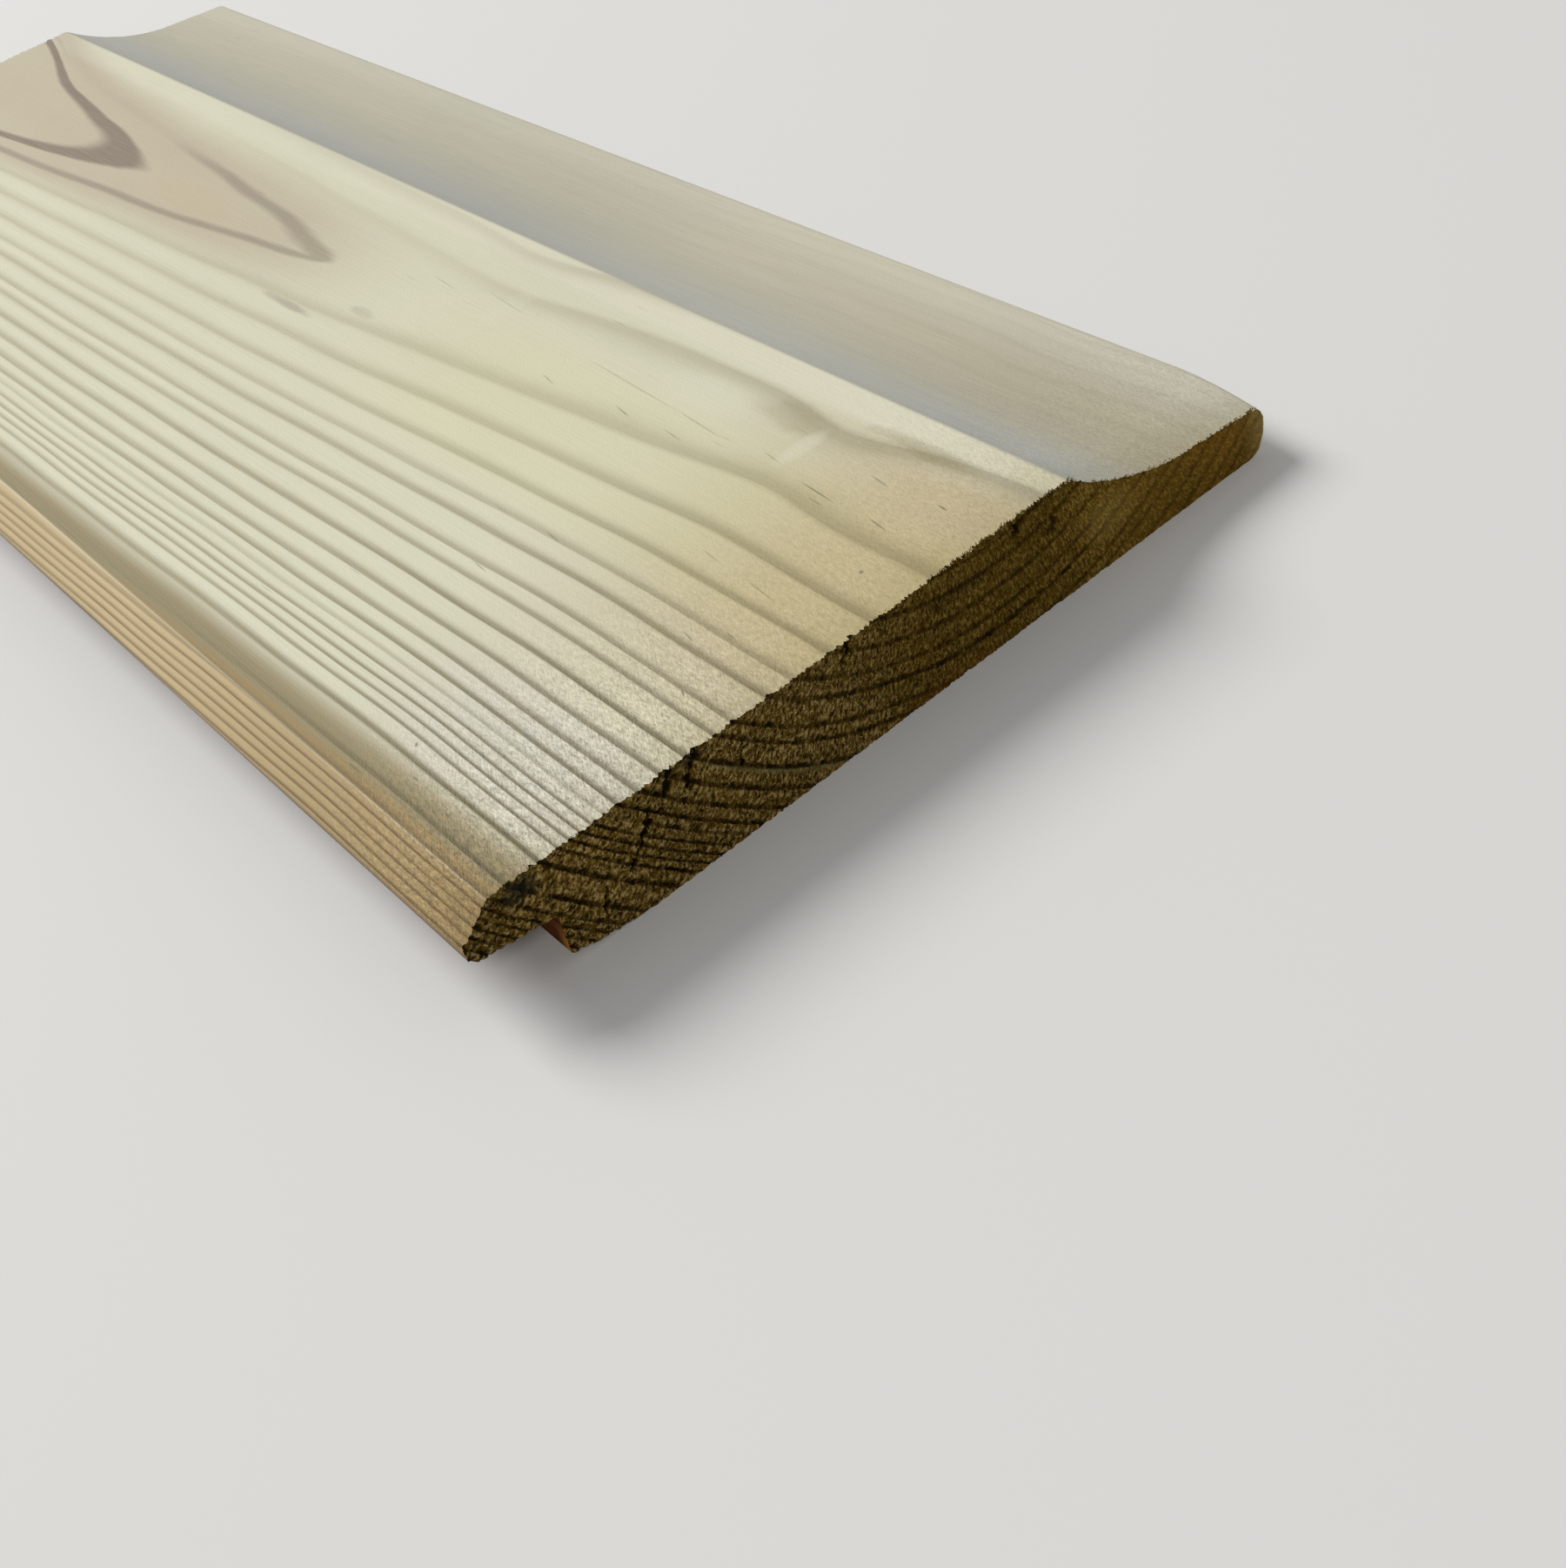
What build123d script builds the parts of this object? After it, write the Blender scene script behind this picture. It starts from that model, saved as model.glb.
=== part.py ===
"""A short length of shiplap cladding board: one piece of planed and treated softwood.

The board lies on its back. X runs along the grain, Y runs across the board from the lip of its
lower edge to the nose of its tongue, and Z points up out of the face that the weather meets.
The origin is at the middle of the board, at the level of the back.
"""

from build123d import *

import os
from math import cos, radians, sin, sqrt

# Overall size
board_length = 280.0
board_width = 120.0
board_thickness = 15.0

# Lower edge: a bevelled lip that laps over the tongue of the board below
lip_width = 10.25
lip_root_thickness = 7.65
lip_tip_thickness = 6.1
lip_bevel_width = 4.1
lip_bevel_depth = 3.8
lip_arris_radius = 0.5
lip_over_radius = 0.6
lip_under_radius = 1.0
rebate_corner_radius = 0.4

# Back: the corner beside the rebate is planed away in a shallow curve
back_relief_width = 12.4
back_relief_depth = 1.7

# Upper edge: a hollow scoop that runs out into a thin tongue with a rounded nose
scoop_width = 34.5
scoop_radius = 40.0
scoop_arris_radius = 1.2
tongue_thickness = 6.7
tongue_fall = 3.5
nose_over_radius = 1.9
nose_under_radius = 3.1

# Places across the board, measured from its middle, and heights above its back
lip_tip = -board_width / 2
rebate_wall = lip_tip + lip_width
nose = board_width / 2
scoop_arris = nose - scoop_width
lip_under_root = board_thickness - lip_root_thickness
lip_under_tip = board_thickness - lip_tip_thickness

# The tongue's top rises from the nose at the fall angle, and the scoop is an arc that leaves it
# without a break and ends on the arris of the face. Seen along the tongue's top, the arris lies
# arris_reach from the nose and arris_height above that line.
fall_cos = cos(radians(tongue_fall))
fall_sin = sin(radians(tongue_fall))
arris_rise = board_thickness - tongue_thickness
arris_reach = scoop_width * fall_cos + arris_rise * fall_sin
arris_height = arris_rise * fall_cos - scoop_width * fall_sin
scoop_reach = sqrt(arris_height * (2 * scoop_radius - arris_height))
tongue_top = arris_reach - scoop_reach

# Corners of the section, from the face's lower arris round by the nose and the back
face_low = (lip_tip + lip_bevel_width, board_thickness)
face_high = (scoop_arris, board_thickness)
scoop_foot = (nose - tongue_top * fall_cos, tongue_thickness + tongue_top * fall_sin)
nose_top = (nose, tongue_thickness)
nose_bottom = (nose, 0)
relief_start = (rebate_wall + back_relief_width, 0)
relief_end = (rebate_wall, back_relief_depth)
rebate_corner = (rebate_wall, lip_under_root)
lip_under = (lip_tip, lip_under_tip)
lip_over = (lip_tip, board_thickness - lip_bevel_depth)

# The radius that each eased corner of the section is worked to
eased_corners = {
    face_low: lip_arris_radius,
    face_high: scoop_arris_radius,
    nose_top: nose_over_radius,
    nose_bottom: nose_under_radius,
    rebate_corner: rebate_corner_radius,
    lip_under: lip_under_radius,
    lip_over: lip_over_radius,
}

with BuildPart() as shiplap_board:
    with BuildSketch(Plane.YZ.offset(-board_length / 2)) as section:
        with BuildLine():
            Line(face_low, face_high)
            TangentArc(scoop_foot, face_high, tangent=(-fall_cos, fall_sin))
            Polyline(scoop_foot, nose_top, nose_bottom, relief_start)
            TangentArc(relief_start, relief_end, tangent=(-1, 0))
            Polyline(relief_end, rebate_corner, lip_under, lip_over, face_low)
        make_face()
        for corner, radius in eased_corners.items():
            fillet(section.vertices().sort_by_distance(corner)[0], radius=radius)
    extrude(amount=board_length)
shiplap_board.part.label = "shiplap_board"

os.makedirs("parts", exist_ok=True)
export_step(shiplap_board.part, "parts/shiplap_board.step")
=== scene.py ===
"""The looks of a short shiplap cladding board: planed and treated softwood, sawn across at both ends.

X runs along the grain, Y across the board from the lip to the nose of the tongue, and Z up out of
the face that the weather meets. Properties are in metres. Inside the functions a length is in
millimetres, measured from the middle of the board's back.
"""

import math
import random

import bmesh
import bpy
import numpy as np
from mathutils import Matrix, Vector, noise


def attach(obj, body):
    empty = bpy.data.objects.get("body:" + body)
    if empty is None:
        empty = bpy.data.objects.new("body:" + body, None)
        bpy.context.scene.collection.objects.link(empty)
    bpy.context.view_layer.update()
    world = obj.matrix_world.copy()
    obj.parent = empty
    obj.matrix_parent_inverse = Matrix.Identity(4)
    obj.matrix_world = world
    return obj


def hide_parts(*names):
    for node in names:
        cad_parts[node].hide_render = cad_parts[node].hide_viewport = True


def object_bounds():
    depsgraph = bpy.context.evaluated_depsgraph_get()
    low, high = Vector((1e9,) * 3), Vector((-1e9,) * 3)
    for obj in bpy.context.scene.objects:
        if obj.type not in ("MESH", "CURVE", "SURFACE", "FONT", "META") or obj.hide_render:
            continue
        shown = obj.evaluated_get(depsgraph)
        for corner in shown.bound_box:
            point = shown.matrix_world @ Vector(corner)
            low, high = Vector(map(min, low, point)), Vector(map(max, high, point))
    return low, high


bl_info = {
    "name": "Shiplap Board",
    "version": (1, 0, 0),
    "blender": (4, 5, 0),
    "location": "3D View > Sidebar > Board",
    "description": "Makes a short length of shiplap board in treated softwood, and a plain studio for it",
    "category": "Object",
}

MM = 0.001
# Two places closer than this many millimetres count as one
HAIR = 1e-4

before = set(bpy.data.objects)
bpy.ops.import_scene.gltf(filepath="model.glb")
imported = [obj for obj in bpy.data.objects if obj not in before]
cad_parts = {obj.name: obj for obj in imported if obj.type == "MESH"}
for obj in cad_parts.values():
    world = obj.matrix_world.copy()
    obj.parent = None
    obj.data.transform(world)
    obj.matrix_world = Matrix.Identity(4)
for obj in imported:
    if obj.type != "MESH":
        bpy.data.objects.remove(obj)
cad_box = [list(corner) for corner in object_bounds()]
board_size = [high - low for low, high in zip(*cad_box)]


def paint(red, green, blue):
    """A colour given as a paint chart gives it, 0 to 255, as Blender's linear light."""
    chart = [part / 255 for part in (red, green, blue)]
    return tuple(part / 12.92 if part <= 0.04045 else ((part + 0.055) / 1.055) ** 2.4 for part in chart)


# Properties


def length_of(name, description, default):
    """A length that the user can set, given here in millimetres."""
    return bpy.props.FloatProperty(
        name=name, description=description, default=default * MM, min=0.0, unit="LENGTH", precision=5
    )


def colour_of(name, description, red, green, blue):
    """A colour that the user can set."""
    return bpy.props.FloatVectorProperty(
        name=name,
        description=description,
        default=paint(red, green, blue),
        subtype="COLOR",
        size=3,
        min=0.0,
        max=1.0,
    )


def power_of(name, description, default):
    """A lamp's power that the user can set, in watts."""
    return bpy.props.FloatProperty(name=name, description=description, default=default, min=0.0, unit="POWER")


class BoardSizes(bpy.types.PropertyGroup):
    """The section and length of the board."""

    length: length_of("Length", "Length along the grain", board_size[0] / MM)
    width: length_of("Width", "Width over the lip and the tongue", board_size[1] / MM)
    thickness: length_of("Thickness", "Thickness from back to face", board_size[2] / MM)
    lip_width: length_of("Lip Width", "How far the lip stands out past the rebate's wall", 10.25)
    lip_root: length_of("Lip Root", "Thickness of the lip where it leaves the board", 7.65)
    lip_tip: length_of("Lip Tip", "Depth of the lip's underside at its tip, below the face", 6.1)
    bevel_width: length_of("Bevel Width", "Width of the bevel along the lip", 4.1)
    bevel_depth: length_of("Bevel Depth", "How far the bevel falls", 3.8)
    relief_width: length_of("Relief Width", "Width of the hollow planed on the back beside the rebate", 12.4)
    relief_depth: length_of("Relief Depth", "Depth of that hollow at the rebate", 1.7)
    scoop_width: length_of("Scoop Width", "Width from the scoop's arris to the nose", 34.5)
    scoop_radius: length_of("Scoop Radius", "Radius of the scoop", 40.0)
    tongue_thickness: length_of("Tongue Thickness", "Thickness of the tongue at its nose", 6.7)
    tongue_fall: bpy.props.FloatProperty(
        name="Tongue Fall",
        description="Slope of the tongue's top",
        default=math.radians(3.5),
        subtype="ANGLE",
    )


class SawnEnds(bpy.types.PropertyGroup):
    """The two ends as the saw left them."""

    near_grid: length_of("Near Grid", "Spacing of the mesh over the torn end", 0.2)
    far_grid: length_of("Far Grid", "Spacing of the mesh over the other end", 0.4)
    tear_depth: length_of("Tear Depth", "How deep the saw tore the soft wood", 0.4)
    check_depth: length_of("Check Depth", "Depth of the short cracks across the rings", 0.7)
    deepest: length_of("Deepest", "No tear or crack goes deeper than this", 0.75)
    worn_width: length_of("Worn Width", "How much of the tongue's corner is worn away", 1.7)
    worn_length: length_of("Worn Length", "How far the wear runs back along the tongue", 14.0)
    fibre_count: bpy.props.IntProperty(
        name="Fibres", description="Torn fibres along the near end's upper arris", default=720, min=1
    )
    fibre_length: length_of("Fibre Length", "Length of a usual torn fibre", 0.8)
    fibre_rise: length_of("Fibre Rise", "No fibre stands higher than this above the face", 0.42)
    seed: bpy.props.IntProperty(name="Seed", description="Changes where the fibres stand", default=11)


class WoodFinish(bpy.types.PropertyGroup):
    """The colours and surface of the softwood."""

    cream: colour_of("Cream", "Soft wood of the face between the rings' dark lines", 221, 218, 192)
    ring_line: colour_of("Ring Line", "Hard dark wood at the end of each year's growth", 140, 130, 90)
    ring_line_near: colour_of("Ring Line by the End", "The same beside the sawn end", 90, 78, 46)
    tan: colour_of("Tan", "Soft wood near the sawn end, where the treatment soaked in", 202, 187, 151)
    # A grey white painted sheen over the close rings near the sawn end
    grey_sheen: colour_of("Greyed", "Greyed soft wood between the close rings near the sawn end", 212, 209, 196)
    brown_band: colour_of("Brown Band", "Broad brown band before the lip", 139, 121, 78)
    heart: colour_of("Heart", "Pinkish wood inside the pointed rings", 197, 184, 160)
    heart_line: colour_of("Heart Line", "Dark line round the pinkish wood", 140, 126, 110)
    strip: colour_of("Cream Strip", "Pale strip beside the scoop", 226, 222, 198)
    # Blue grey painted shade of the scoop's steep side, which turns away from the key lamp
    scoop_shade_grey: colour_of("Scoop Grey", "Blue grey wood of the scoop's steep side", 188, 188, 179)
    scoop_tan: colour_of("Scoop Tan", "Yellower wood in the middle of the scoop", 182, 174, 148)
    tongue_pale: colour_of("Tongue", "Paler wood towards the nose", 200, 195, 174)
    bevel_tan: colour_of("Bevel Tan", "Orange tan wood of the lip's bevel", 204, 183, 141)
    bevel_brown: colour_of("Bevel Brown", "The bevel's wood near the sawn end", 160, 136, 90)
    bevel_line: colour_of("Bevel Line", "Dark lines of the lip's bevel", 104, 80, 42)
    # Orange brown wood of the rebate, painted darker for the shade under the lip
    rebate: colour_of("Rebate", "Orange brown wood of the rebate and under the lip", 92, 46, 10)
    stain: colour_of("Stain", "Green grey of the treatment in small open pores", 104, 108, 82)
    # A golden painted highlight on the rebate's edge beside the sawn end
    rebate_edge_highlight: colour_of("Rebate Edge", "Golden wood of the rebate beside the sawn end", 214, 150, 70)
    # The sawn ends' colours are painted darker than the wood itself, as painted shade of ends that turn away
    # from the key lamp
    end_soft_shaded: colour_of("End Soft Wood", "Torn soft wood of the sawn ends", 104, 79, 20)
    # Dark hard wood of the rings, used as well for painted shade in the sunken grooves, the deepest tears and
    # the cracks
    end_hard_and_shade: colour_of("End Hard Wood", "Sunken dark rings of the sawn ends", 24, 12, 3)
    # Light tips of the torn fibres, used as well for painted highlights on the scales and along the nose's
    # end
    end_tips_and_highlights: colour_of("End Fibre Tips", "Light tips of the torn fibres", 184, 158, 100)
    end_amber: colour_of("End Amber", "Orange brown wood towards the tongue and the back", 128, 84, 26)
    end_olive: colour_of("End Olive", "Pale green line along one ring", 128, 120, 76)
    end_stain: colour_of("End Stain", "Grey green blotches", 44, 42, 28)
    roughness: bpy.props.FloatProperty(
        name="Roughness",
        description="Roughness of the planed faces",
        default=0.6,
        min=0.0,
        max=1.0,
        subtype="FACTOR",
    )


class StudioSettings(bpy.types.PropertyGroup):
    """Floor, lights and camera."""

    floor_width: length_of("Floor Width", "Width of the plain floor", 9000.0)
    floor_colour: colour_of("Floor", "Colour of the floor", 226, 225, 222)
    key_power: power_of("Key", "Power of the soft key lamp", 91.0)
    side_power: power_of("Side", "Power of the small side lamp", 5.2)
    fill: bpy.props.FloatProperty(
        name="Fill", description="Strength of the light from all around", default=0.31, min=0.0
    )
    lens: bpy.props.FloatProperty(name="Lens", description="Focal length on a 36 mm sensor", default=44.33)


# The tree that the board was cut from

# Distance in millimetres from the pith to each year's dark line, and how dark that line is
year_rings = (
    (37.7, 0.42), (40.6, 0.5), (43.9, 0.56), (46.9, 0.52), (49.15, 0.74), (52.4, 0.68), (54.2, 0.74),
    (57.2, 0.92), (59.9, 0.82), (62.3, 0.84), (64.2, 0.92), (65.6, 0.4), (67.0, 0.9), (68.2, 0.96),
    (69.4, 0.92), (70.6, 0.9), (72.7, 1.0), (76.2, 1.0), (78.1, 0.6), (79.3, 0.9), (80.5, 0.7),
    (81.6, 0.9), (82.8, 0.8), (84.1, 0.9), (85.4, 0.8), (86.8, 0.8),
)  # fmt: skip
first_ring = year_rings[0][0]
# The rings are counted between these two distances, and the first of them lies partly through a year
rings_from = 36.2
rings_to = 88.0
year_at_start = 0.3
# A year ends this far outside the middle of its dark line
line_edge = 0.12
# Hard wood is the last part of a year: it takes this much of it, and no more than this many millimetres
hard_share = 0.55
hard_width = 1.25
# How dark the wood is through one year. The soft wood is the first half, the hard wood the second.
year_shades = (
    (0.0, 0.85), (0.07, 0.04), (0.2, 0.0), (0.5, 0.0), (0.62, 0.18), (0.74, 0.54), (0.86, 0.92), (1.0, 1.0),
)  # fmt: skip
# The two innermost years end in the pointed rings of the face, which are nearly flat there, so their
# lines are given finely: outer edge, how far inside it the dark core starts and ends, where the shade
# inside the core ends, weight, and how much wider the line gets for each millimetre off the middle
pointed_rings = ((34.12, 0.17, 0.48, 0.8, 1.0, 0.0), (35.76, 0.05, 0.08, 0.18, 0.64, 0.45))
# A softer profile for the lines of the far half, where the hard wood is broader and paler
soft_shades = ((0.0, 0.5), (0.14, 0.12), (0.3, 0.0), (0.5, 0.1), (0.7, 0.45), (0.88, 0.85), (1.0, 0.75))
# The level of the face, and the pith's place across the board and its height above the face
face_level = 15
pith_across = 13.37
pith_height = 36.84
# The stem's bends: how far each goes across, its place along the board, and its spread
stem_bends = ((1.77, 38, 16), (-6.7, -145, 25), (1.16, 112, 10), (-0.52, -20, 30))
# The torn scales of the ends lie in rows round this point, across and up, on arcs of this radius
rows_across = 13.3
rows_up = 52
rows_radius = 50


def either(operation, plain):
    """A function that works on numbers and on a finish's sockets alike."""

    def work(value, *others):
        return value.work(operation, value, *others) if isinstance(value, Flow) else plain(value, *others)

    return work


exp = either("EXPONENT", np.exp)
sqrt = either("SQRT", np.sqrt)
sine = either("SINE", np.sin)
arctan = either("ARCTAN2", np.arctan2)


def row_place(y, z):
    """How far along its row a torn scale of an end lies."""
    return arctan(y - rows_across, rows_up - z) * rows_radius


def pith_distance(x, y, z):
    """How far the wood at a point is from the pith, which lies above the face and bends with the stem."""
    # The bends show only on the tongue's side. Below the face the lip's rings lean towards the tongue.
    bent = sum(far * hump(x, middle, spread) for far, middle, spread in stem_bends)
    sunk = (face_level - z) / face_level
    lean = sunk * (2.7 / (1 + exp((y + 30) / 6)) + hump(y, -4, 6))
    y = y + bent / (1 + exp((10 - y) / 2)) - lean
    # Towards the far end the pith comes down to the face, and the inner rings shift across
    height = pith_height - 0.0001 * (x - 107) * (x - 107) + 0.26 * hump(x, 110, 12)
    above = (z - face_level - height) * (z - face_level - height)
    drift = 10.07 / (1 + exp((x - 63.6) / 27)) + 0.0062 * (x - 137)
    straight = (y - pith_across) * (y - pith_across) + above
    across = y - pith_across + drift * (first_ring * first_ring) / straight
    wave = 0.04 * sine(0.11 * x + 0.30 * y + 0.2 * z) + 0.03 * sine(0.21 * x - 0.5 * y + 0.3 * z + 1.3)
    return sqrt(across * across + above) + wave


def hump(value, middle, spread):
    """A smooth hump that is 1 at its middle."""
    off = (value - middle) / spread
    return exp(-(off * off))


# Short cracks and blemishes of the near end: where each starts and ends, and its width
end_checks = (
    ((-29.5, 14.8), (-31.5, 11.6), 0.59), ((-33.0, 14.6), (-34.2, 12.2), 0.51),
    ((-36.6, 11.6), (-38.2, 8.8), 0.34), ((-38.2, 8.8), (-40.4, 6.4), 0.38),
    ((-35.4, 10.9), (-36.9, 10.2), 0.3), ((-8.2, 14.6), (-9.4, 12.9), 0.45),
    ((-24.0, 11.0), (-24.9, 9.0), 0.35), ((-44.0, 4.9), (-44.6, 3.2), 0.41),
    ((-51.5, 14.2), (-52.2, 12.6), 0.41), ((17.6, 14.3), (16.6, 13.0), 0.45),
    ((22.6, 11.3), (21.6, 10.2), 0.38), ((4.6, 11.6), (4.2, 10.4), 0.28),
)  # fmt: skip


def nearness(y, z, check):
    """1 on the line of a check, falling to 0 at its width."""
    (from_y, from_z), (to_y, to_z), width = check
    run_y, run_z = to_y - from_y, to_z - from_z
    along = np.clip(((y - from_y) * run_y + (z - from_z) * run_z) / (run_y**2 + run_z**2), 0, 1)
    off = np.hypot(y - from_y - along * run_y, z - from_z - along * run_z)
    return np.clip(1 - off / width, 0, 1)


def year_marks():
    """Pairs of a distance from the pith and a count of years: each year has a mark where its hard wood
    starts, at the half, and one on the outer edge of its dark line, at the whole number."""
    marks = [(rings_from, year_at_start)]
    for number, (line, _) in enumerate(year_rings):
        edge = line + line_edge
        hard = min(hard_width, hard_share * (edge - marks[-1][0]) + 0.05)
        marks += [(edge - hard, number + 0.5), (edge, number + 1.0)]
    return marks


def year_position(radius):
    """Counts the years out from the pith."""
    return np.interp(radius, *zip(*year_marks()))


# Mesh helpers


def draw_line(bm, start, y, z):
    """Draws the section's outline on from a corner to a place, and returns the new corner."""
    corner = bmesh.ops.extrude_vert_indiv(bm, verts=[start])["verts"][0]
    corner.co = Vector((start.co.x, y, z))
    return corner


def draw_arc(bm, start, y, z, tangent, steps):
    """Draws an arc from a corner, leaving it along the tangent, and returns its end."""
    chord = Vector((0, y, z)) - Vector((0, start.co.y, start.co.z))
    side = Vector((0, -tangent[1], tangent[0]))
    radius = chord.length_squared / (2 * chord.dot(side))
    turn = 2 * math.asin(chord.length / (2 * radius))
    bent = bmesh.ops.spin(
        bm,
        geom=[start],
        cent=start.co + side * radius,
        axis=(1, 0, 0),
        angle=turn,
        steps=steps,
        use_merge=False,
    )
    return bent["geom_last"][0]


def ease_corner(bm, y, z, radius, steps):
    """Rounds the corner of a flat section nearest to a place across the board."""
    corner = min(bm.verts, key=lambda vert: (vert.co.y - y) ** 2 + (vert.co.z - z) ** 2)
    arms = [edge.other_vert(corner).co - corner.co for edge in corner.link_edges]
    offset = radius / math.tan(arms[0].angle(arms[1]) / 2)
    bmesh.ops.bevel(
        bm,
        geom=[corner],
        offset=offset,
        offset_type="OFFSET",
        segments=steps,
        profile=0.5,
        affect="VERTICES",
        material=-1,
    )


def slice_faces(bm, faces, axis, places):
    """Cuts the given faces at each place along an axis."""
    across = Vector((0, 0, 0))
    across[axis] = 1
    for place in places:
        cut = dict.fromkeys(faces)
        for face in faces:
            cut.update(dict.fromkeys(face.edges))
            cut.update(dict.fromkeys(face.verts))
        made = bmesh.ops.bisect_plane(bm, geom=list(cut), dist=1e-6, plane_co=across * place, plane_no=across)
        faces = [
            face
            for face in made["geom"]
            if isinstance(face, bmesh.types.BMFace)
            and max(vert.co[axis] for vert in face.verts) > place + HAIR
        ]


def steps_between(low, high, step):
    """Places inside a stretch, one step apart, and off its ends."""
    count = int((high - low) / step)
    first = (low + high - (count - 1) * step) / 2
    return [first + number * step for number in range(count)]


def finish_piece(bm, name, materials):
    """Turns a bmesh in millimetres into a piece of the board."""
    bmesh.ops.scale(bm, verts=bm.verts[:], vec=(MM, MM, MM))
    mesh = bpy.data.meshes.new(name)
    bm.to_mesh(mesh)
    bm.free()
    for material in materials:
        mesh.materials.append(material)
    mesh.polygons.foreach_set("use_smooth", [True] * len(mesh.polygons))
    piece = bpy.data.objects.new(name, mesh)
    bpy.context.scene.collection.objects.link(piece)
    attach(piece, "root")
    return piece


# Shader helpers


def math_method(operation, swapped=False):
    """A method of Flow that joins it with another value in a Math node."""

    def join(self, other):
        pair = (other, self) if swapped else (self, other)
        return self.work(operation, *pair)

    return join


class Flow:
    """One output socket of a finish. Python's operators on it add Math nodes."""

    def __init__(self, finish, socket):
        self.finish = finish
        self.socket = socket

    def work(self, operation, *values):
        return self.finish.node("ShaderNodeMath", {"operation": operation}, dict(enumerate(values)))

    __add__ = math_method("ADD")
    __radd__ = math_method("ADD", swapped=True)
    __sub__ = math_method("SUBTRACT")
    __rsub__ = math_method("SUBTRACT", swapped=True)
    __mul__ = math_method("MULTIPLY")
    __rmul__ = math_method("MULTIPLY", swapped=True)
    __truediv__ = math_method("DIVIDE")
    __rtruediv__ = math_method("DIVIDE", swapped=True)
    __pow__ = math_method("POWER")
    least = math_method("MINIMUM")
    most = math_method("MAXIMUM")

    def __neg__(self):
        return self.work("MULTIPLY", self, -1)

    def part(self):
        return self.work("FRACT", self)

    def size(self):
        return self.work("ABSOLUTE", self)

    def rise(self, low, high):
        """0 at low and 1 at high, eased at both ends. High may be less than low."""
        eased = {"interpolation_type": "SMOOTHSTEP"}
        return self.finish.node("ShaderNodeMapRange", eased, {0: self, 1: low, 2: high, 3: 0.0, 4: 1.0})

    def band(self, low, high, soft):
        """1 between two values and 0 outside them."""
        return self.rise(low - soft, low + soft) * self.rise(high + soft, high - soft)


class Finish:
    """A material, and the ways to add nodes to it."""

    def __init__(self, name):
        self.material = bpy.data.materials.new(name)
        self.material.use_nodes = True
        self.tree = self.material.node_tree
        self.tree.nodes.clear()

    def node(self, kind, settings=None, sockets=None, output=0):
        """Adds a node: its settings first, then its sockets' values or links. Gives one output or several.

        A float curve's points are given as one of the settings.
        """
        node = self.tree.nodes.new(kind)
        for name, value in (settings or {}).items():
            if name == "points":
                curve = node.mapping.curves[0]
                for place, height in value[1:-1]:
                    curve.points.new(place, height)
                curve.points[0].location = value[0]
                curve.points[-1].location = value[-1]
                for point in curve.points:
                    point.handle_type = "VECTOR"
                node.mapping.update()
            else:
                setattr(node, name, value)
        for key, value in (sockets or {}).items():
            if isinstance(value, Flow):
                self.tree.links.new(value.socket, node.inputs[key])
            elif node.inputs[key].type == "RGBA":
                node.inputs[key].default_value = (*value[:3], 1.0)
            else:
                node.inputs[key].default_value = value
        if isinstance(output, tuple):
            return [Flow(self, node.outputs[number]) for number in output]
        return Flow(self, node.outputs[output])

    def vector(self, x, y, z):
        return self.node("ShaderNodeCombineXYZ", sockets={0: x, 1: y, 2: z})

    def noise(self, x, y, z, detail=2.0, roughness=0.5):
        """Soft cloudy noise about 0, from about -1 to 1."""
        sockets = {0: self.vector(x, y, z), "Scale": 1.0, "Detail": detail, "Roughness": roughness}
        return self.node("ShaderNodeTexNoise", {}, sockets) * 3.2 - 1.6

    def mix(self, factor, first, second, blend="MIX"):
        settings = {"data_type": "RGBA", "blend_type": blend, "clamp_factor": True}
        return self.node("ShaderNodeMix", settings, {0: factor, 6: first, 7: second}, output=2)

    def tint(self, colour, red, green, blue):
        """Multiplies the three parts of a colour."""
        parts = self.node("ShaderNodeCombineColor", {}, {0: red, 1: green, 2: blue})
        return self.mix(1.0, colour, parts, "MULTIPLY")

    def curve(self, value, points):
        return self.node("ShaderNodeFloatCurve", {"points": points}, {"Value": value})

    def close(self, colour, roughness, height, bump_distance, constants):
        """Joins a colour, a roughness and a height to the surface."""
        bump = {"Distance": bump_distance, "Height": height, "Strength": 1.0}
        normal = self.node("ShaderNodeBump", {}, bump)
        sockets = {"Base Color": colour, "Roughness": roughness, "Normal": normal, **constants}
        surface = self.node("ShaderNodeBsdfPrincipled", {}, sockets)
        self.node_output(surface)
        return self.material

    def node_output(self, surface):
        output = self.tree.nodes.new("ShaderNodeOutputMaterial")
        self.tree.links.new(surface.socket, output.inputs["Surface"])


def wood_place(finish):
    """The place of a point in millimetres along, across and up."""
    place = finish.node("ShaderNodeTexCoord", output=3)
    place = finish.node("ShaderNodeVectorMath", {"operation": "SCALE"}, {0: place, 3: 1 / MM})
    return finish.node("ShaderNodeSeparateXYZ", {}, {0: place}, output=(0, 1, 2))


def ellipse(first, second, middle, halves):
    """0 at the middle of an ellipse, given its half sizes, and 1 on its edge."""
    off_first = (first - middle[0]) / halves[0]
    off_second = (second - middle[1]) / halves[1]
    return off_first * off_first + off_second * off_second


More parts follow.
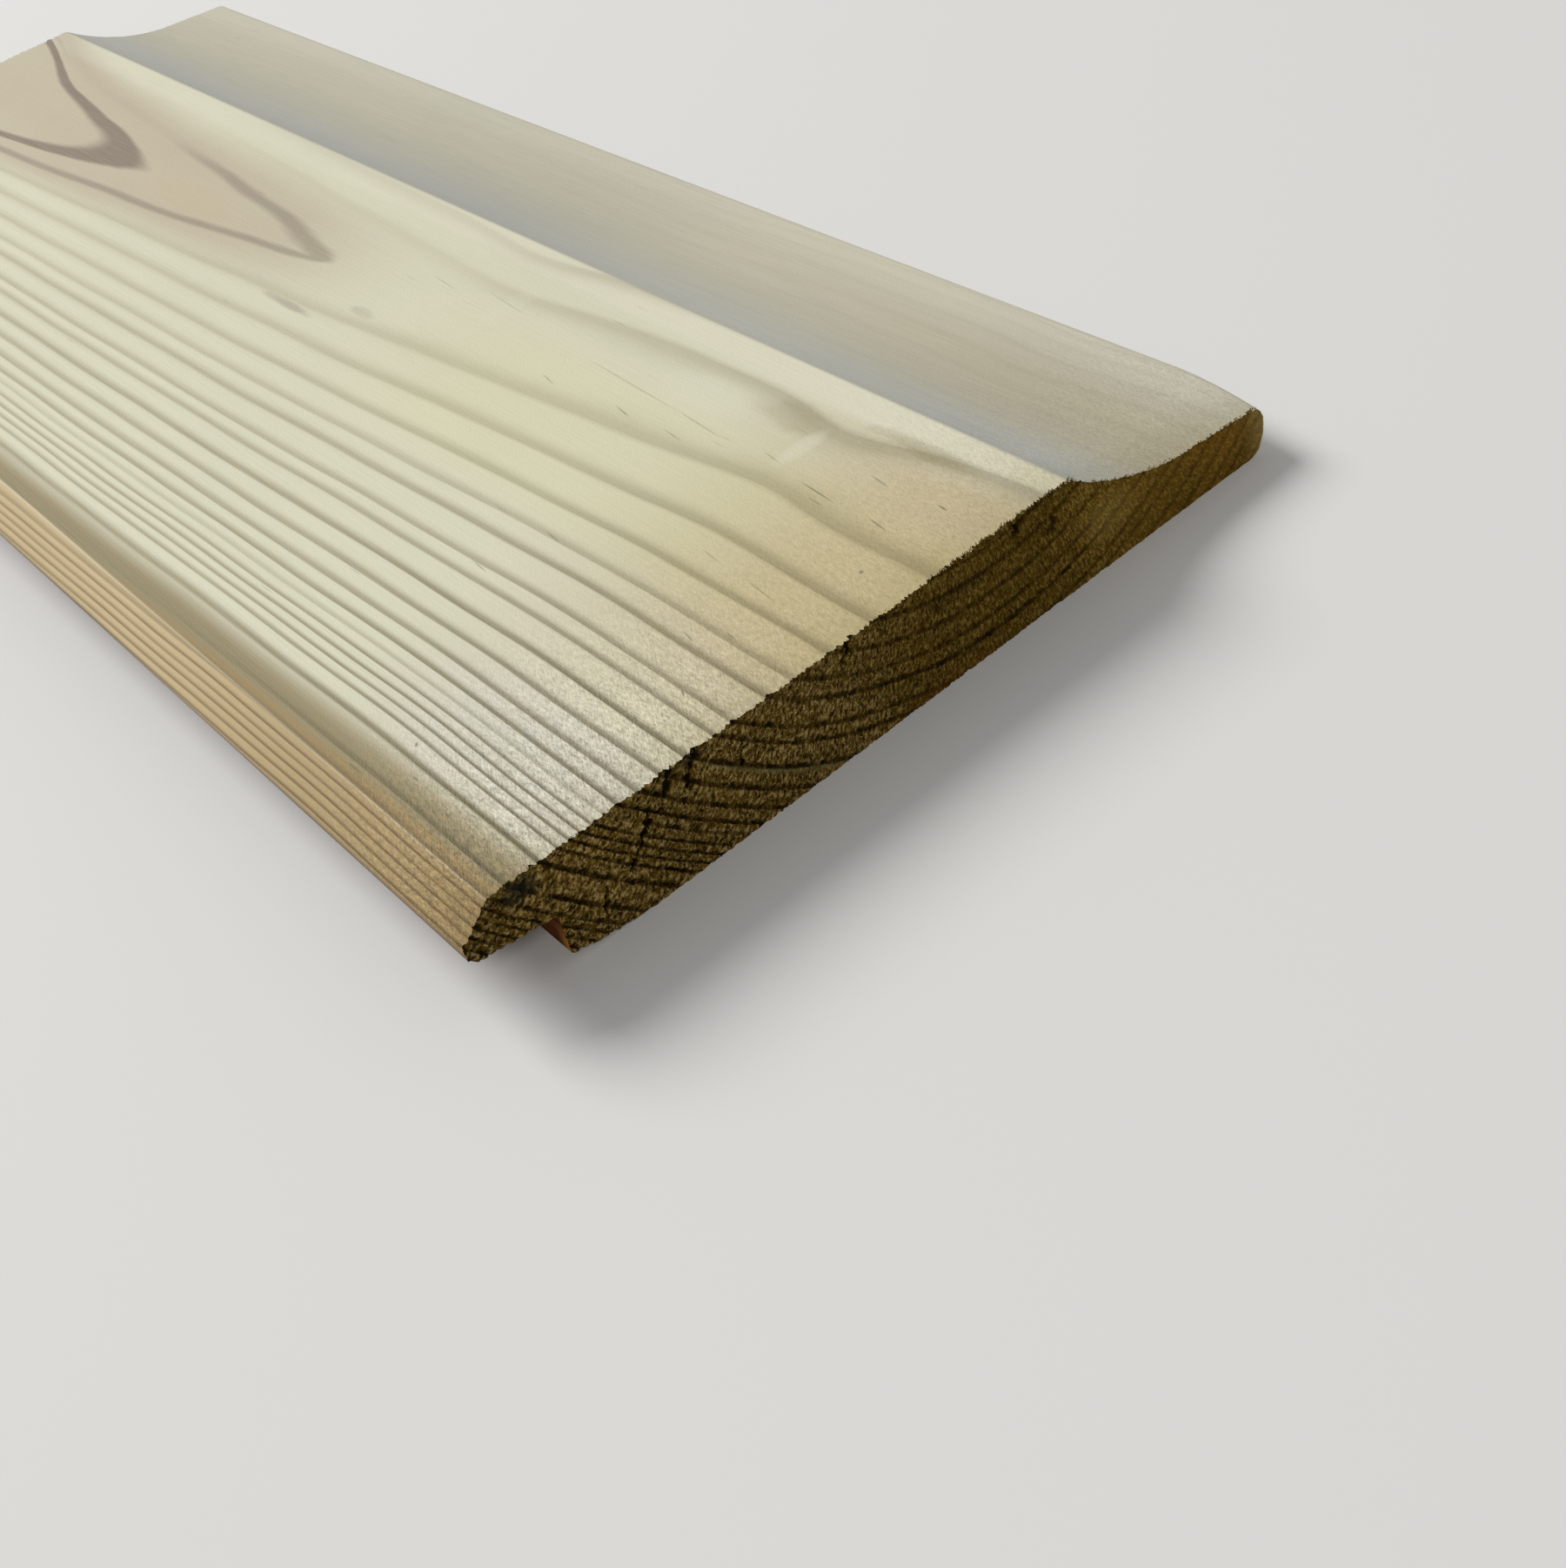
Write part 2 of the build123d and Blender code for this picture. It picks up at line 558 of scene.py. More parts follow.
def ring_shades(finish, radius, softness=0.0, off_middle=0.0, narrowness=2.4):
    """How dark the wood's growth lines are at a distance from the pith, from 0 to 1.

    The softness blends in the softer profile, the pointed rings' lines get wider off the middle, and
    the narrowness is a power.
    """
    reach = rings_to - rings_from
    count = len(year_rings) + 1
    counted = [((place - rings_from) / reach, year / count) for place, year in year_marks()]
    years = finish.curve(((radius - rings_from) / reach).most(0).least(1), counted + [(1.0, 0.995)])
    strengths = [(number / count, strength) for number, (_, strength) in enumerate(year_rings, 1)]
    strength = finish.curve(years, [(0.0, strengths[0][1])] + strengths + [(1.0, 0.8)])
    into_year = (years * count).part()
    shade = finish.curve(into_year, list(year_shades))
    if isinstance(softness, Flow):
        shade = shade + (finish.curve(into_year, list(soft_shades)) - shade) * softness
    shade = shade**narrowness * strength * radius.rise(rings_from - 0.05, rings_from + 0.3)
    for edge, core, core_end, soft, weight, widening in pointed_rings:
        inside = (edge - radius) / (off_middle * widening + 1)
        shade = shade.most(inside.rise(soft, core_end) * inside.rise(-0.02, core) * weight)
    return shade


# Finishes

# Dark dashes of the face: place along and across, half length and half width, fall across for each
# step along, and weight
pore_dashes = (
    (116.8, 7.6, 3.4, 0.13, 0.09, 0.9), (118.1, 6.2, 1.5, 0.10, 0.09, 0.7),
    (127.5, 7.4, 1.7, 0.14, 0.14, 0.9), (131.5, 13.8, 0.9, 0.16, 0.1, 1.0),
    (121.6, 13.25, 1.8, 0.14, 0.14, 0.7), (78.0, 9.5, 11.0, 0.13, 0.05, 0.4),
    (93.0, 8.7, 5.0, 0.13, 0.08, 0.45), (92.0, 5.2, 2.2, 0.12, 0.1, 0.5),
    (81.8, 4.9, 1.9, 0.14, 0.17, 0.6), (66.4, 3.9, 1.8, 0.14, 0.2, 0.5),
    (107.0, 9.15, 2.0, 0.12, 0.12, 0.6), (125.6, -8.5, 3.0, 0.12, 0.11, 0.6),
    (115.6, -7.7, 1.8, 0.12, 0.12, 0.5), (125.0, -18.45, 1.2, 0.12, 0.2, 0.8),
    (128.7, -15.5, 0.9, 0.10, 0.1, 0.8), (96.5, -16.7, 1.6, 0.14, 0.1, 0.6),
    (93.4, -25.5, 1.7, 0.12, 0.1, 0.6), (132.4, 0.4, 0.3, 0.3, 0.0, 1.0),
    (131.8, -24.7, 0.7, 0.14, 0.5, 1.0), (114.4, -47.9, 0.35, 0.2, 0.6, 1.0),
    (44.0, 12.5, 5.0, 0.13, 0.08, 0.35), (30.0, 10.8, 4.0, 0.13, 0.08, 0.3),
    (119.0, -50.9, 0.6, 0.16, 0.0, 0.9), (112.0, -54.3, 1.6, 0.14, 0.0, 0.9),
)  # fmt: skip
# Smears and patches of the face: their colour, place, half sizes and weight
smears = (
    ("brown_band", 121.5, 20.6, 9.5, 1.4, 0.36), ("brown_band", 102.5, 16.6, 7.0, 3.0, 0.24),
    ("strip", 108.2, 12.6, 1.5, 4.2, 0.5), ("strip", 45.0, 11.0, 2.2, 8.0, 0.22),
    ("heart_line", 11.5, -6.4, 7.0, 0.8, 0.45), ("stain", 25.5, -1.1, 3.0, 1.0, 0.2),
    ("bevel_tan", -38.0, 3.0, 18.0, 4.0, 0.25), ("strip", 88.0, 13.6, 8.0, 3.4, 0.5),
)  # fmt: skip
# Smears of the near end: colour, place across and up, half sizes and weight. The dark ones beside the cracks
# and under the upper rim are painted shade.
end_smears = (
    ("end_stain", -52.4, 13.4, 2.4, 1.6, 0.8), ("end_stain", -33.0, 13.2, 3.2, 1.4, 0.15),
    ("end_hard_and_shade", -30.2, 14.3, 2.6, 0.9, 0.6), ("end_amber", 4.0, 0.7, 9.0, 1.1, 0.3),
    ("end_hard_and_shade", 16.9, 13.6, 0.7, 0.7, 0.9), ("end_hard_and_shade", 22.0, 10.6, 1.1, 1.0, 0.6),
    ("end_hard_and_shade", 8.0, 11.2, 6.0, 1.2, 0.35), ("end_tips_and_highlights", 31.0, 7.0, 4.5, 3.0, 0.16),
)  # fmt: skip


def planed_softwood(wood):
    """The planed faces: cream softwood with brown growth lines, tinted by zones and flecked with stain."""
    finish = Finish("planed softwood")
    x, y, z = wood_place(finish)
    drift = finish.noise(x * 0.03, y * 0.09, z * 0.09) * 0.05
    shiver = finish.noise(x * 0.09, y * 0.5, z * 0.5) * 0.035
    radius = pith_distance(x, y, z) + drift + shiver
    near_end = x.rise(55, 145)
    shade = ring_shades(finish, radius, x.rise(90, -50), (y - 3.5).size(), near_end + 1)
    # On the scoop's side the lines fade towards the far end, the outer pointed ring's most of all
    shade = shade * (1 - y.rise(8, 14) * x.rise(66, 20) * radius.rise(36.4, 36.6) * 0.5)
    shade = shade * (1 - y.rise(9, 13) * x.rise(-26, -66) * radius.rise(34.4, 34.8) * 0.85)

    fibres = finish.noise(x * 0.06, y * 2.6, z * 2.6, detail=3.0, roughness=0.6)
    speckle = finish.noise(x * 1.4, y * 3.3, z * 3.3, roughness=0.85)
    woolly = finish.noise(x * 0.75 - y * 0.43, x * 2.2 + y * 3.9, z * 4, roughness=0.6)
    cloud = finish.noise(x * 0.03, y * 0.08, z * 0.08)
    patches = finish.noise(x * 0.22, y * 0.45, z * 0.45, roughness=0.6)

    # Zones of the soft wood, and painted sheen, painted shade and painted light over some of them
    upper = z.rise(3.5, 5.0)
    face = upper * y.rise(-56, -55.6) * y.rise(26, 25)
    rough = x.rise(100, 138)
    soaked = x.rise(130, 141) * (patches * 0.3 + 0.7)
    middle = y.rise(-36, -10) * y.rise(24, 15)
    tanned = x.rise(86, 138) * (0.35 + middle * 0.75)
    pale = finish.mix(tanned, wood.cream, wood.tan)
    heart = upper * radius.rise(38.4, 35.6) * (y + (x + 20).least(0) * 0.08).rise(21, 15) * x.rise(32, -16)
    pale = finish.mix(heart * (cloud * 0.15 + 0.85), pale, wood.heart)
    strip = upper * y.band(20.6, 26, 1.0) * x.rise(150, 105)
    strip = strip * (0.5 + x.rise(-80, 60) * 0.5) * (1 - heart * 0.6)
    pale = finish.mix(strip, pale, wood.strip)
    # Grey white painted sheen over the close rings near the sawn end
    grey_sheen = upper * x.rise(92, 122) * y.band(-49, -34, 4) * (0.55 + patches * 0.3)
    pale = finish.mix(grey_sheen, pale, wood.grey_sheen)
    scoop = upper * y.rise(25.2, 26.4)
    lit = x.band(36, 104, 22)
    # The scoop runs from blue grey painted shade on its steep side to paler wood towards the nose, and is
    # paler too where painted light falls along its middle
    scooped = finish.mix(y.rise(28, 52) * 0.9 + cloud * 0.08 + lit * 0.12, wood.scoop_shade_grey, wood.tongue_pale)
    scooped = finish.mix(y.band(35, 51, 6) * (0.35 + near_end * 0.6), scooped, wood.scoop_tan)
    pale = finish.mix(scoop, pale, scooped)
    bevel = y.rise(-55.6, -56.1)
    brown = face * radius.rise(71.8, 75.2)
    lipped = face * radius.rise(76.6, 77.2)
    pale = finish.mix(brown * (0.88 - near_end * 0.06), pale, wood.brown_band)
    edge_tan = finish.mix(near_end * (0.85 + cloud * 0.2), wood.bevel_tan, wood.bevel_brown)
    pale = finish.mix(bevel, pale, edge_tan)
    pale = finish.mix(lipped * 0.85, pale, wood.bevel_brown)
    # The lip's underside takes the rebate's colour, with its painted shade
    under = z.rise(11.0, 8.8) * y.rise(-49.3, -49.7)
    pale = finish.mix(under, pale, wood.rebate)

    # Growth lines, darkest beside the sawn end
    dark = finish.mix(near_end * 0.8, wood.ring_line, wood.ring_line_near)
    dark = finish.mix(heart, dark, wood.heart_line)
    dark = finish.mix(bevel.most(lipped), dark, wood.bevel_line)
    depth = shade * (0.78 + near_end * 0.22 + heart * 0.15) * (1 - scoop * 0.92)
    depth = depth * (fibres * 0.16 + speckle * rough * 0.2 + 0.97)
    colour = finish.mix(depth, pale, dark)

    # Streaks along the grain, speckle and soft clouds, and painted light and a painted highlight in the scoop
    torn = rough * y.rise(-4, -40)
    grit = 0.012 + x.rise(60, 130) * 0.026 + rough * 0.19 + torn * 0.42
    lightness = 1 + fibres * (0.024 + scoop * 0.036 + torn * 0.10) + speckle * grit + woolly * (grit * 0.5)
    lightness = (lightness + cloud * 0.018 + patches * (0.010 + rough * 0.018)) * (1 - soaked * 0.2)
    # Painted light along the scoop's middle, most on its steep side, and a painted highlight along the nose
    lightness = lightness * (1 + scoop * (lit * (0.045 + y.rise(36, 28) * 0.05) + y.rise(51, 57) * 0.07))
    warm = face * y.band(-15, 10, 5) * x.rise(20, 70)
    blue = lightness - soaked * 0.1 - warm * 0.09
    colour = finish.tint(colour, lightness, lightness - soaked * 0.02, blue)

    # Fine dark dashes where the treatment lies in open pores, a few of them in known places
    cells = finish.vector(x * 0.12 + y * 0.02, y * 2.2, z * 2.2)
    sockets = {0: cells, "Scale": 1.0}
    dash, chance = finish.node("ShaderNodeTexVoronoi", {"feature": "F1"}, sockets, output=(0, 1))
    chance = finish.node("ShaderNodeSeparateColor", {}, {0: chance}, output=0)
    dashes = dash.rise(0.24, 0.05) * chance.rise(0.982, 0.988) * (0.5 + speckle * 0.4)
    for at_x, at_y, run, wide, fall, weight in pore_dashes:
        mark = ellipse(x, y + (x - at_x) * fall, (at_x, at_y), (run, wide)).rise(1.4, 0.1)
        dashes = dashes.most(mark * face * (weight + speckle * 0.3))
    colour = finish.mix(dashes * 0.7, colour, wood.stain)
    for name, at_x, at_y, run, wide, weight in smears:
        spot = ellipse(x, y, (at_x, at_y), (run, wide))
        mark = (spot + patches * 0.4 + woolly * 0.15).rise(1.5, 0.0)
        colour = finish.mix(mark * face * weight, colour, getattr(wood, name))

    height = fibres * 0.2 + (speckle * 0.3 + woolly * 0.25) * (0.35 + rough * 0.2 + torn * 0.9)
    roughness = wood.roughness - shade * 0.08 + speckle * 0.03
    return finish.close(colour, roughness, height, 0.00008, {"Specular IOR Level": 0.25})


def shade_darkened_rebate(wood):
    """The rebate and the lip's underside: orange brown wood darkened with painted shade under the lip, with
    dark lines, and a golden painted highlight beside the near end.
    """
    finish = Finish("stained rebate")
    x, y, z = wood_place(finish)
    streaks = finish.noise(x * 0.03, y * 1.6, z * 1.7, roughness=0.6)
    colour = finish.mix(streaks.rise(-0.05, 0.35) * 0.8, wood.rebate, wood.end_hard_and_shade)
    # A golden painted highlight along the rebate's edge beside the near end
    golden = x.rise(137.8, 139.9) * z.rise(6.5, 2.0) * (0.5 + streaks * 0.4)
    colour = finish.mix(golden, colour, wood.rebate_edge_highlight)
    return finish.close(colour, 0.8, streaks, 0.0001, {"Specular IOR Level": 0.05})


def sawn_end(wood):
    """The ends across the grain: torn soft wood in small scales, with the hard rings as dark grooves, painted
    shade in the hollows and cracks, and painted highlights on the scales.
    """
    finish = Finish("sawn end grain")
    x, y, z = wood_place(finish)
    ragged = finish.noise(x * 0.2, y * 1.1, z * 1.1, detail=3.0, roughness=0.65)
    radius = pith_distance(x, y, z) + ragged * 0.11
    shade = ring_shades(finish, radius)
    arc = row_place(y, z)

    scales = finish.noise(radius * 1.1, arc * 2.9, x * 0.5, roughness=0.6)
    curls = finish.noise(radius * 1.7 + arc * 0.9, arc * 3.8 - radius * 0.7, x, roughness=0.6)
    cloud = finish.noise(x * 0.05, y * 0.13, z * 0.18, detail=3.0)
    broken = finish.noise(radius * 0.5, arc * 0.55, x * 0.1)
    sunk = finish.node("ShaderNodeAttribute", {"attribute_name": "sunk"}, output=2)
    smooth = y.rise(22, 40)
    woolly = (1 - y.rise(-14, 16) * 0.45) * (1 - smooth * 0.45)

    groove = (shade * (0.82 + broken * 0.9 + curls * 0.6)).most(0).least(1)
    # Painted highlights on the raised scales and curls, and painted shade in the scales' hollows and the
    # deepest tears
    light = scales.rise(0.02, 0.42).most(curls.rise(0.1, 0.5) * 0.9) * sunk.rise(0.4, 0.15)
    deep = (scales.rise(-0.05, -0.45) * 0.85).most(sunk.rise(0.25, 0.55))
    soft = finish.mix(deep * woolly, wood.end_soft_shaded, wood.end_hard_and_shade)
    soft = finish.mix(light * woolly * (0.85 - groove * 0.85), soft, wood.end_tips_and_highlights)
    colour = finish.mix(groove * (0.95 - smooth * 0.72), soft, wood.end_hard_and_shade)
    amber = y.rise(34, 44) * (0.55 + cloud * 0.6)
    colour = finish.mix(amber * 0.24, colour, wood.end_amber)
    # A painted highlight along the end of the tongue's nose
    colour = finish.mix(y.rise(54, 58) * 0.36, colour, wood.end_tips_and_highlights)
    olive = radius.band(57.36, 57.86, 0.12) * y.band(-29, -6, 3) * (0.75 + broken * 0.4)
    colour = finish.mix(olive * 0.65, colour, wood.end_olive)
    for name, at_y, at_z, wide, tall, weight in end_smears:
        spot = ellipse(y, z, (at_y, at_z), (wide, tall))
        mark = (spot + scales * 0.35 + cloud * 0.2).rise(1.5, 0.0)
        colour = finish.mix(mark * x.rise(0, 1) * weight, colour, getattr(wood, name))
    # Lighter under the scoop, darker in the middle and on the lip, and redder from the middle to the nose
    lightness = 1 + cloud * 0.16 + broken * 0.12 + y.band(26, 36, 6) * 0.08
    lightness = lightness - y.band(-5, 24, 6) * 0.23 - y.rise(-51, -58) * 0.25
    streaks = finish.noise(y * 1.2 + z * 3.1, z * 0.5, x)
    lightness = lightness + streaks * smooth * 0.22
    redder = y.band(-5, 56, 5)
    colour = finish.tint(colour, lightness, lightness - redder * 0.03, lightness - redder * 0.3)
    height = (scales + curls * 0.7) * woolly * 0.8 - groove * 1.4
    return finish.close(colour, 0.85, height, 0.0003, {"Specular IOR Level": 0.06})


def plain_finish(name, colour, roughness):
    """A plain matt surface for the studio."""
    finish = Finish(name)
    surface = finish.node("ShaderNodeBsdfPrincipled", {}, {"Base Color": colour, "Roughness": roughness})
    finish.node_output(surface)
    return finish.material


# Pieces

# Width of the strip beside each end that gets a fine mesh, which is more than the deepest tear
end_strip = 0.8
# Places of the three finishes in the board's list of materials
planed, sawn, shade_darkened = range(3)
# Faces that meet at less than this many degrees are shaded smooth, along the grain and across it
smooth_along = 24
smooth_across = 80


class OBJECT_OT_shiplap_board(bpy.types.Operator):
    """Make the shiplap board: one planed length of softwood, sawn across at both ends"""

    bl_idname = "object.shiplap_board"
    bl_label = "Shiplap Board"
    bl_options = {"REGISTER", "UNDO"}

    def execute(self, context):
        sizes = context.scene.board_sizes
        ends = context.scene.sawn_ends
        bm = bmesh.new()
        draw_section(bm, sizes)
        half, nose, top = extent(sizes)
        lip = -nose
        made = bmesh.ops.extrude_face_region(bm, geom=bm.faces[:])
        far_end = [item for item in made["geom"] if isinstance(item, bmesh.types.BMVert)]
        bmesh.ops.translate(bm, verts=far_end, vec=(-2 * half, 0, 0))
        bmesh.ops.recalc_face_normals(bm, faces=bm.faces[:])

        # Cuts across the board, closer together where the tongue's corner is worn
        worn = ends.worn_length / MM
        stations = [-half + end_strip, -half + 4, -half * 0.4, half * 0.4, half - worn - 2]
        stations += [half - worn * (1 - share) for share in (0, 0.2, 0.4, 0.6, 0.75, 0.87)]
        slice_faces(bm, bm.faces[:], 0, stations + [half - end_strip])
        # A fine grid over both ends and the strips beside them
        grids = ((ends.far_grid / MM, ends.near_grid / MM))
        for side, step in zip((-1, 1), grids):
            for axis, low, high in ((1, lip, nose), (2, 0, top)):
                faces = [face for face in bm.faces if is_at_end(face, side, half)]
                slice_faces(bm, faces, axis, steps_between(low + 0.07, high - 0.05, step))
        wall = lip + sizes.lip_width / MM
        lip_under = top - sizes.lip_tip / MM
        for face in bm.faces:
            middle = face.calc_center_median()
            face.material_index = sawn if abs(middle.x) > half - HAIR else planed
            if face.material_index == planed and middle.y < wall + 0.01 and middle.z < lip_under:
                face.material_index = shade_darkened

        weather_ends(bm, sizes, ends)
        bmesh.ops.recalc_face_normals(bm, faces=bm.faces[:])
        for edge in bm.edges:
            kinds = {face.material_index for face in edge.link_faces}
            rim = sawn in kinds and len(kinds) == 2
            smooth_to = math.radians(smooth_along if edge_is_long(edge) else smooth_across)
            edge.smooth = not rim and edge.calc_face_angle(0) < smooth_to
        wood = context.scene.wood_finish
        board = finish_piece(bm, "board", [planed_softwood(wood), sawn_end(wood), shade_darkened_rebate(wood)])
        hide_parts("shiplap_board")
        return {"FINISHED"}


def is_at_end(face, side, half):
    """Whether a face is part of an end or of the strip beside it. The side is 1 at the near end, else -1."""
    return min(vert.co.x * side for vert in face.verts) > half - end_strip - 0.1


def edge_is_long(edge):
    """Whether an edge runs along the grain."""
    run = edge.verts[0].co - edge.verts[1].co
    return abs(run.x) > 0.9 * run.length


def extent(sizes):
    """Half the length, half the width and the thickness of the board."""
    return sizes.length / MM / 2, sizes.width / MM / 2, sizes.thickness / MM


def scoop_foot(sizes):
    """Where the scoop leaves the tongue's top, which rises from the nose at its fall, without a break."""
    _, nose, top = extent(sizes)
    tongue = sizes.tongue_thickness / MM
    fall = sizes.tongue_fall
    run = sizes.scoop_width / MM
    rise = top - tongue
    reach = run * math.cos(fall) + rise * math.sin(fall)
    height = rise * math.cos(fall) - run * math.sin(fall)
    flat = reach - math.sqrt(height * (2 * sizes.scoop_radius / MM - height))
    return nose - flat * math.cos(fall), tongue + flat * math.sin(fall)


def upper_side(sizes, y):
    """How high the board's upper side is at places across it: bevel, face, scoop or tongue."""
    _, nose, top = extent(sizes)
    fall = sizes.tongue_fall
    radius = sizes.scoop_radius / MM
    foot_y, foot_z = scoop_foot(sizes)
    bevel = top - (sizes.bevel_width / MM - nose - y) * sizes.bevel_depth / sizes.bevel_width
    off = np.minimum(y, foot_y) - foot_y - radius * math.sin(fall)
    scoop = foot_z + radius * math.cos(fall) - np.sqrt(np.clip(radius**2 - off**2, 0, None))
    tongue = foot_z - (y - foot_y) * math.tan(fall)
    hollow = np.where(y < foot_y, scoop, tongue)
    level = np.where(y < nose - sizes.scoop_width / MM, top, hollow)
    return np.minimum(np.minimum(top, bevel), level)


def draw_section(bm, sizes):
    """Draws the section of the board as one flat face at the near end."""
    half, nose, top = extent(sizes)
    lip = -nose
    wall = lip + sizes.lip_width / MM
    lip_low = lip + sizes.bevel_width / MM
    lip_over = top - sizes.bevel_depth / MM
    lip_under = top - sizes.lip_tip / MM
    lip_root = top - sizes.lip_root / MM
    relief = sizes.relief_depth / MM
    relief_run = wall + sizes.relief_width / MM
    arris = nose - sizes.scoop_width / MM
    tongue = sizes.tongue_thickness / MM
    fall = sizes.tongue_fall

    start = bm.verts.new((half, *scoop_foot(sizes)))
    corner = draw_arc(bm, start, arris, top, (-math.cos(fall), math.sin(fall)), steps=22)
    for place in ((lip_low, top), (lip, lip_over), (lip, lip_under), (wall, lip_root), (wall, relief)):
        corner = draw_line(bm, corner, *place)
    corner = start
    for place in ((nose, tongue), (nose, 0), (relief_run, 0)):
        corner = draw_line(bm, corner, *place)
    draw_arc(bm, corner, wall, relief, (-1, 0), steps=10)
    bmesh.ops.remove_doubles(bm, verts=bm.verts[:], dist=HAIR)
    bmesh.ops.edgeloop_fill(bm, edges=bm.edges[:])
    # Each corner that is eased, and its radius
    eased = (
        ((lip_low, top), 0.5), ((arris, top), 1.2), ((nose, tongue), 1.9), ((nose, 0), 3.1),
        ((wall, lip_root), 0.4), ((lip, lip_under), 1.0), ((lip, lip_over), 0.6),
    )  # fmt: skip
    for place, radius in eased:
        ease_corner(bm, *place, radius, 8 if radius > 1.5 else 4)


def noise_at(first, second, third):
    """Blender's noise at many places. A number stands for a row of it."""
    places = np.broadcast_arrays(first, second, third)
    return np.array([noise.noise(Vector(place)) for place in zip(*places)])


def torn_depth(sizes, ends, x, y, z):
    """How deep the saw tore the wood at places on the two ends."""
    radius = pith_distance(x, y, z)
    shade = np.interp(year_position(radius) % 1, *zip(*year_shades))
    across, along, deep = radius * 1.2, row_place(y, z) * 3.3, x * 0.3
    scales = noise_at(across, along, deep) + 0.5 * noise_at(across * 2.3, along * 2.3, deep * 2.3)
    coarse = noise_at(across * 0.25, along * 0.3, 5.0)
    smooth = np.clip((y - 22) / 16, 0, 1)
    depth = 0.3 + 0.9 * scales * (1 - 0.7 * smooth) + 0.4 * coarse + 0.5 * shade**2.4 * (1 - 0.85 * smooth)
    depth = ends.tear_depth / MM * depth * np.clip(1.1 - np.exp(-z / 0.8) * 0.6, 0, 1)
    # The rim is broken into teeth, most of all between the middle and the scoop
    below = np.clip(upper_side(sizes, y) - z, 0, None)
    teeth = noise_at(y * 3.1, 2.7, 0.4) + noise_at(y * 7.9, 8.3, 1.9)
    loose = 0.3 + 0.7 * np.clip((y - 1) / 8, 0, 1) * np.clip((28 - y) / 3, 0, 1)
    depth = depth + np.clip(teeth + 0.1, 0, 1) * 0.8 * loose * np.exp(-below / 0.5)
    # The near end's short cracks are jagged
    jag_across, jag_up = (noise_at(y * 1.3, z * 1.3, level) * 0.7 for level in (6.1, 9.4))
    for check in end_checks:
        near = nearness(y + jag_across, z + jag_up, check)
        depth = depth + np.where(x > 0, ends.check_depth / MM * near**0.6, 0)
    return np.clip(depth, 0, ends.deepest / MM)


def weather_ends(bm, sizes, ends):
    """Tears the sawn ends back from flat, and wears away the near corner of the tongue."""
    half, nose, _ = extent(sizes)
    sunk = bm.verts.layers.float.new("sunk")
    verts = bm.verts[:]
    x, y, z = np.array([vert.co for vert in verts]).T
    depth = torn_depth(sizes, ends, x, y, z)
    for vert, share in zip(verts, depth):
        vert[sunk] = share
    at_end = np.abs(x) > half - HAIR
    new_x = np.where(at_end, np.sign(x) * (half - depth), x)
    # The corner of the tongue is knocked back towards its root, and its upper edge is rounded over
    share = np.clip(1 - (half - x) / (ends.worn_length / MM), 0, 1) ** 1.6
    out = np.clip(1 - (nose - y) / 10, 0, None)
    new_y = y - ends.worn_width / MM * share * out
    new_z = z - np.where(z > sizes.tongue_thickness / MM / 2, 0.5 * share * out**3, 0)
    for vert, place in zip(verts, np.stack([new_x, new_y, new_z], -1)):
        vert.co = place


# The stretch of the near end's upper rim that has torn fibres
fibres_from = -55.5
fibres_to = 57


def looseness(y):
    """How loose the rim's fibres are at a place across the board: most between the middle and the scoop."""
    if y < 2:
        return 0.3
    if y > 26:
        return 0.45
    return 0.45 + 0.55 * min(1, (y - 2) / 6)


class OBJECT_OT_torn_fibres(bpy.types.Operator):
    """Make the torn fibres that stand along the upper arris of the near sawn end"""

    bl_idname = "object.torn_fibres"
    bl_label = "Torn Fibres"
    bl_options = {"REGISTER", "UNDO"}

    def execute(self, context):
        sizes = context.scene.board_sizes
        ends = context.scene.sawn_ends
        half, _, top = extent(sizes)
        chance = random.Random(ends.seed)
        bm = bmesh.new()
        count = 0
        while count < ends.fibre_count:
            y = chance.uniform(fibres_from, fibres_to)
            loose = looseness(y)
            if chance.random() > loose:
                continue
            count += 1
            length = ends.fibre_length / MM * chance.uniform(0.4, 1.4) * loose
            back = chance.uniform(0.1, 0.45)
            down = chance.uniform(0.1, 0.3)
            place = Vector((half - back, y, upper_side(sizes, y) - down))
            lean = (chance.gauss(-8, 16), chance.gauss(12, 16), chance.uniform(0, 360))
            add_fibre(bm, place, length, chance.uniform(0.06, 0.13), lean)
        # One long fibre stands by itself near the middle
        add_fibre(bm, Vector((half - 0.3, 0.7, top - 0.15)), 1.0, 0.13, (10, 16, 0))
        bmesh.ops.recalc_face_normals(bm, faces=bm.faces[:])
        for vert in bm.verts:
            vert.co.x = min(vert.co.x, half)
            vert.co.z = min(vert.co.z, top + ends.fibre_rise / MM)
        finish_piece(bm, "torn_fibres", [sawn_end(context.scene.wood_finish)])
        return {"FINISHED"}


def add_fibre(bm, place, length, width, lean):
    """Adds one tapered fibre that stands at a place and leans by angles about X, Y and its own axis."""
    made = bmesh.ops.create_cone(
        bm, cap_ends=True, cap_tris=True, segments=4, radius1=width, radius2=width * 0.25, depth=length
    )
    turn = Matrix.Rotation(math.radians(lean[0]), 3, "X") @ Matrix.Rotation(math.radians(lean[1]), 3, "Y")
    turn = turn @ Matrix.Rotation(math.radians(lean[2]), 3, "Z")
    bmesh.ops.translate(bm, verts=made["verts"], vec=(0, 0, length / 2))
    bmesh.ops.rotate(bm, verts=made["verts"], cent=(0, 0, 0), matrix=turn)
    bmesh.ops.translate(bm, verts=made["verts"], vec=place)


